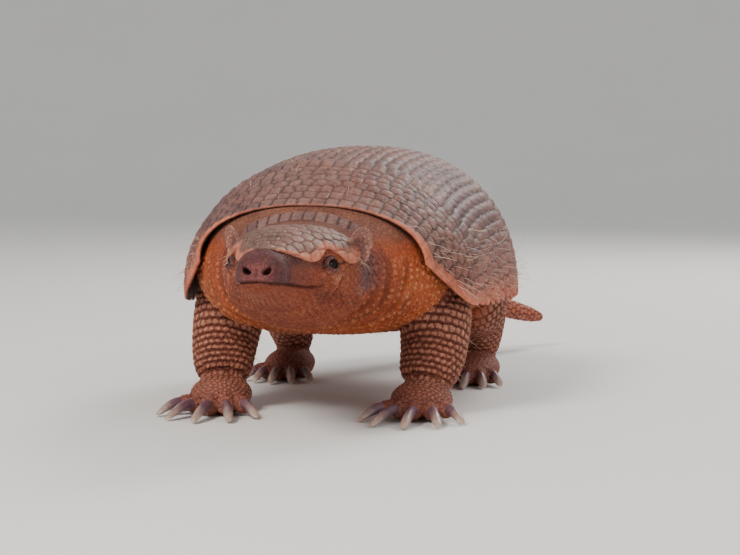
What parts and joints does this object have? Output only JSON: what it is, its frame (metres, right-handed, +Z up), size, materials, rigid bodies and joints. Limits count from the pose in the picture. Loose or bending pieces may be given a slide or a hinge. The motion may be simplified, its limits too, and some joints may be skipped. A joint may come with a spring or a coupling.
{
  "type": "armadillo",
  "caption": "Life-size yellow armadillo standing on four feet with its head level, with a banded shell, a shielded head, long claws and an armoured tail; a still model.",
  "frame": {"origin": "on the floor, midway along the length between the front of the nose and the back of the tail, on the plane that halves the animal's head and body", "axes": "-Y the way the nose points, +X the animal's left, +Z up"},
  "size_m": [0.2216, 0.6272, 0.1818],
  "materials": {
    "skin": "rough wrinkled skin, orange-brown with dust, with small pale warts and horny scales",
    "shell": "matt horn over bone, tan to pinkish grey, in polygonal scutes with dark grooves",
    "tail": "matt horny scales in overlapping rings, reddish tan",
    "claw": "satin horn, purplish grey with paler worn tips",
    "eye": "wet, nearly black brown"
  },
  "bodies": {
    "root": {"shoulder_shield": "shell", "hip_shield": "shell", "head": "skin", "head_shield": "shell", "neck": "skin", "neck_band": "shell", "trunk": "skin", "tail_base": "tail", "tail_middle": "tail", "tail_tip": "tail", "band_1": "shell", "band_2": "shell", "band_3": "shell", "band_4": "shell", "band_5": "shell", "band_6": "shell", "ear_left": "skin", "eye_left": "eye", "foreleg_left": "skin", "foreleg_claw_1_left": "claw", "foreleg_claw_2_left": "claw", "foreleg_claw_3_left": "claw", "foreleg_claw_4_left": "claw", "foreleg_claw_5_left": "claw", "hindleg_left": "skin", "hindleg_claw_1_left": "claw", "hindleg_claw_2_left": "claw", "hindleg_claw_3_left": "claw", "hindleg_claw_4_left": "claw", "hindleg_claw_5_left": "claw", "ear_right": "skin", "eye_right": "eye", "foreleg_right": "skin", "foreleg_claw_1_right": "claw", "foreleg_claw_2_right": "claw", "foreleg_claw_3_right": "claw", "foreleg_claw_4_right": "claw", "foreleg_claw_5_right": "claw", "hindleg_right": "skin", "hindleg_claw_1_right": "claw", "hindleg_claw_2_right": "claw", "hindleg_claw_3_right": "claw", "hindleg_claw_4_right": "claw", "hindleg_claw_5_right": "claw"}
  },
  "joints": []
}
